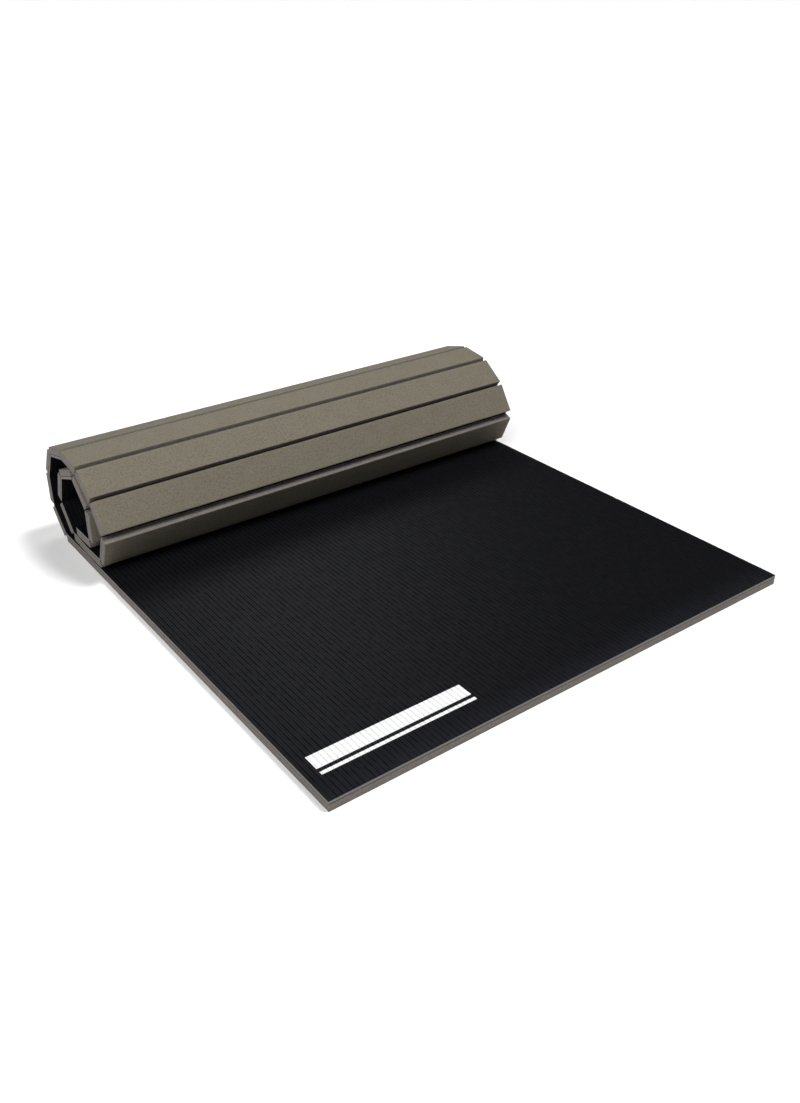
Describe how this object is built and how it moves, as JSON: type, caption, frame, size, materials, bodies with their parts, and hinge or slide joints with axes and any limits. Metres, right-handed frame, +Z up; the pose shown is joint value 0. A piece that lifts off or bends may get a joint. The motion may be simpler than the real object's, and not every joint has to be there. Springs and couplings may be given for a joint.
{
  "type": "roll-out gym mat",
  "caption": "Slit-back foam mat with a black woven-texture vinyl top, lying flat at the front with its back half wound into a roll.",
  "frame": {"origin": "on the floor at the bottom centre of the bounding box of the stored pose", "axes": "+X along the slits, across the width of the mat; +Y from the free front edge towards the roll; +Z up from the floor"},
  "size_m": [1.524, 1.573, 0.3365],
  "materials": {
    "foam": "matte taupe-grey closed-cell foam",
    "vinyl": "black vinyl with a woven straw texture, semi-matte"
  },
  "bodies": {
    "base_section": {"foam_plank_10": "foam", "foam_plank_11": "foam", "foam_plank_12": "foam", "foam_plank_13": "foam", "foam_plank_14": "foam", "foam_plank_15": "foam", "cover_base": "vinyl"},
    "front_plank_09": {"foam_plank_09": "foam", "cover_strip_09": "vinyl"},
    "front_plank_08": {"foam_plank_08": "foam", "cover_strip_08": "vinyl"},
    "front_plank_07": {"foam_plank_07": "foam", "cover_strip_07": "vinyl"},
    "front_plank_06": {"foam_plank_06": "foam", "cover_strip_06": "vinyl"},
    "front_plank_05": {"foam_plank_05": "foam", "cover_strip_05": "vinyl"},
    "front_plank_04": {"foam_plank_04": "foam", "cover_strip_04": "vinyl"},
    "front_plank_03": {"foam_plank_03": "foam", "cover_strip_03": "vinyl"},
    "front_plank_02": {"foam_plank_02": "foam", "cover_strip_02": "vinyl"},
    "front_plank_01": {"foam_plank_01": "foam", "cover_strip_01": "vinyl"},
    "roll_plank_16": {"foam_plank_16": "foam", "cover_strip_16": "vinyl"},
    "roll_plank_17": {"foam_plank_17": "foam", "cover_strip_17": "vinyl"},
    "roll_plank_18": {"foam_plank_18": "foam", "cover_strip_18": "vinyl"},
    "roll_plank_19": {"foam_plank_19": "foam", "cover_strip_19": "vinyl"},
    "roll_plank_20": {"foam_plank_20": "foam", "cover_strip_20": "vinyl"},
    "roll_plank_21": {"foam_plank_21": "foam", "cover_strip_21": "vinyl"},
    "roll_plank_22": {"foam_plank_22": "foam", "cover_strip_22": "vinyl"},
    "roll_plank_23": {"foam_plank_23": "foam", "cover_strip_23": "vinyl"},
    "roll_plank_24": {"foam_plank_24": "foam", "cover_strip_24": "vinyl"},
    "roll_plank_25": {"foam_plank_25": "foam", "cover_strip_25": "vinyl"},
    "roll_plank_26": {"foam_plank_26": "foam", "cover_strip_26": "vinyl"},
    "roll_plank_27": {"foam_plank_27": "foam", "cover_strip_27": "vinyl"},
    "roll_plank_28": {"foam_plank_28": "foam", "cover_strip_28": "vinyl"},
    "roll_plank_29": {"foam_plank_29": "foam", "cover_strip_29": "vinyl"},
    "roll_plank_30": {"foam_plank_30": "foam", "cover_strip_30": "vinyl"},
    "roll_plank_31": {"foam_plank_31": "foam", "cover_strip_31": "vinyl"}
  },
  "joints": [
    {"name": "front_hinge_09", "type": "hinge", "parent": "base_section", "child": "front_plank_09", "pos_m": [0, 0.09839, 0.03], "axis": [-1, 0, 0], "range_deg": [0, 45]},
    {"name": "front_hinge_08", "type": "hinge", "parent": "front_plank_09", "child": "front_plank_08", "pos_m": [0, 0.00006, 0.03], "axis": [-1, 0, 0], "range_deg": [0, 47.5]},
    {"name": "front_hinge_07", "type": "hinge", "parent": "front_plank_08", "child": "front_plank_07", "pos_m": [0, -0.09826, 0.03], "axis": [-1, 0, 0], "range_deg": [0, 49.5]},
    {"name": "front_hinge_06", "type": "hinge", "parent": "front_plank_07", "child": "front_plank_06", "pos_m": [0, -0.19658, 0.03], "axis": [-1, 0, 0], "range_deg": [0, 51]},
    {"name": "front_hinge_05", "type": "hinge", "parent": "front_plank_06", "child": "front_plank_05", "pos_m": [0, -0.2949, 0.03], "axis": [-1, 0, 0], "range_deg": [0, 51]},
    {"name": "front_hinge_04", "type": "hinge", "parent": "front_plank_05", "child": "front_plank_04", "pos_m": [0, -0.39322, 0.03], "axis": [-1, 0, 0], "range_deg": [0, 55.5]},
    {"name": "front_hinge_03", "type": "hinge", "parent": "front_plank_04", "child": "front_plank_03", "pos_m": [0, -0.49155, 0.03], "axis": [-1, 0, 0], "range_deg": [0, 63]},
    {"name": "front_hinge_02", "type": "hinge", "parent": "front_plank_03", "child": "front_plank_02", "pos_m": [0, -0.58987, 0.03], "axis": [-1, 0, 0], "range_deg": [0, 64]},
    {"name": "front_hinge_01", "type": "hinge", "parent": "front_plank_02", "child": "front_plank_01", "pos_m": [0, -0.68819, 0.03], "axis": [-1, 0, 0], "range_deg": [0, 65]},
    {"name": "roll_hinge_16", "type": "hinge", "parent": "base_section", "child": "roll_plank_16", "pos_m": [0, 0.68832, 0.03], "axis": [-1, 0, 0], "range_deg": [0, 46]},
    {"name": "roll_hinge_17", "type": "hinge", "parent": "roll_plank_16", "child": "roll_plank_17", "pos_m": [0, 0.75662, 0.10073], "axis": [-1, 0, 0], "range_deg": [0, 48]},
    {"name": "roll_hinge_18", "type": "hinge", "parent": "roll_plank_17", "child": "roll_plank_18", "pos_m": [0, 0.74977, 0.19881], "axis": [-1, 0, 0], "range_deg": [0, 27]},
    {"name": "roll_hinge_19", "type": "hinge", "parent": "roll_plank_18", "child": "roll_plank_19", "pos_m": [0, 0.69912, 0.28309], "axis": [-1, 0, 0], "range_deg": [0, 45]},
    {"name": "roll_hinge_20", "type": "hinge", "parent": "roll_plank_19", "child": "roll_plank_20", "pos_m": [0, 0.60372, 0.30688], "axis": [-1, 0, 0], "range_deg": [0, 22]},
    {"name": "roll_hinge_21", "type": "hinge", "parent": "roll_plank_20", "child": "roll_plank_21", "pos_m": [0, 0.50636, 0.29319], "axis": [-1, 0, 0], "range_deg": [0, 27.5]},
    {"name": "roll_hinge_22", "type": "hinge", "parent": "roll_plank_21", "child": "roll_plank_22", "pos_m": [0, 0.42631, 0.2361], "axis": [-1, 0, 0], "range_deg": [0, 22]},
    {"name": "roll_hinge_23", "type": "hinge", "parent": "roll_plank_22", "child": "roll_plank_23", "pos_m": [0, 0.37348, 0.15317], "axis": [-1, 0, 0], "range_deg": [0, 57]},
    {"name": "roll_hinge_24", "type": "hinge", "parent": "roll_plank_23", "child": "roll_plank_24", "pos_m": [0, 0.41426, 0.0637], "axis": [-1, 0, 0], "range_deg": [0, 64]},
    {"name": "roll_hinge_25", "type": "hinge", "parent": "roll_plank_24", "child": "roll_plank_25", "pos_m": [0, 0.51255, 0.06113], "axis": [-1, 0, 0], "range_deg": [0, 5.5]},
    {"name": "roll_hinge_26", "type": "hinge", "parent": "roll_plank_25", "child": "roll_plank_26", "pos_m": [0, 0.61063, 0.06799], "axis": [-1, 0, 0], "range_deg": [0, 46.5]},
    {"name": "roll_hinge_27", "type": "hinge", "parent": "roll_plank_26", "child": "roll_plank_27", "pos_m": [0, 0.67317, 0.14385], "axis": [-1, 0, 0], "range_deg": [0, 63]},
    {"name": "roll_hinge_28", "type": "hinge", "parent": "roll_plank_27", "child": "roll_plank_28", "pos_m": [0, 0.63396, 0.23402], "axis": [-1, 0, 0], "range_deg": [0, 46.5]},
    {"name": "roll_hinge_29", "type": "hinge", "parent": "roll_plank_28", "child": "roll_plank_29", "pos_m": [0, 0.54157, 0.26765], "axis": [-1, 0, 0], "range_deg": [0, 66]},
    {"name": "roll_hinge_30", "type": "hinge", "parent": "roll_plank_29", "child": "roll_plank_30", "pos_m": [0, 0.47327, 0.19692], "axis": [-1, 0, 0], "range_deg": [0, 49]},
    {"name": "roll_hinge_31", "type": "hinge", "parent": "roll_plank_30", "child": "roll_plank_31", "pos_m": [0, 0.48184, 0.09897], "axis": [-1, 0, 0], "range_deg": [0, 84]}
  ],
  "couplings": [
    {"joint": "front_hinge_09", "follows": "front_hinge_04", "ratio": 0.81081},
    {"joint": "front_hinge_08", "follows": "front_hinge_04", "ratio": 0.85585},
    {"joint": "front_hinge_07", "follows": "front_hinge_04", "ratio": 0.89189},
    {"joint": "front_hinge_06", "follows": "front_hinge_04", "ratio": 0.91891},
    {"joint": "front_hinge_05", "follows": "front_hinge_04", "ratio": 0.91891},
    {"joint": "front_hinge_03", "follows": "front_hinge_04", "ratio": 1.1351},
    {"joint": "front_hinge_02", "follows": "front_hinge_04", "ratio": 1.1531},
    {"joint": "front_hinge_01", "follows": "front_hinge_04", "ratio": 1.1712},
    {"joint": "roll_hinge_16", "follows": "roll_hinge_23", "ratio": 0.80701},
    {"joint": "roll_hinge_17", "follows": "roll_hinge_23", "ratio": 0.8421},
    {"joint": "roll_hinge_18", "follows": "roll_hinge_23", "ratio": 0.47368},
    {"joint": "roll_hinge_19", "follows": "roll_hinge_23", "ratio": 0.78947},
    {"joint": "roll_hinge_20", "follows": "roll_hinge_23", "ratio": 0.38596},
    {"joint": "roll_hinge_21", "follows": "roll_hinge_23", "ratio": 0.48245},
    {"joint": "roll_hinge_22", "follows": "roll_hinge_23", "ratio": 0.38596},
    {"joint": "roll_hinge_24", "follows": "roll_hinge_23", "ratio": 1.1228},
    {"joint": "roll_hinge_25", "follows": "roll_hinge_23", "ratio": 0.09649},
    {"joint": "roll_hinge_26", "follows": "roll_hinge_23", "ratio": 0.81578},
    {"joint": "roll_hinge_27", "follows": "roll_hinge_23", "ratio": 1.1053},
    {"joint": "roll_hinge_28", "follows": "roll_hinge_23", "ratio": 0.81578},
    {"joint": "roll_hinge_29", "follows": "roll_hinge_23", "ratio": 1.1579},
    {"joint": "roll_hinge_30", "follows": "roll_hinge_23", "ratio": 0.85964},
    {"joint": "roll_hinge_31", "follows": "roll_hinge_23", "ratio": 1.4737}
  ]
}
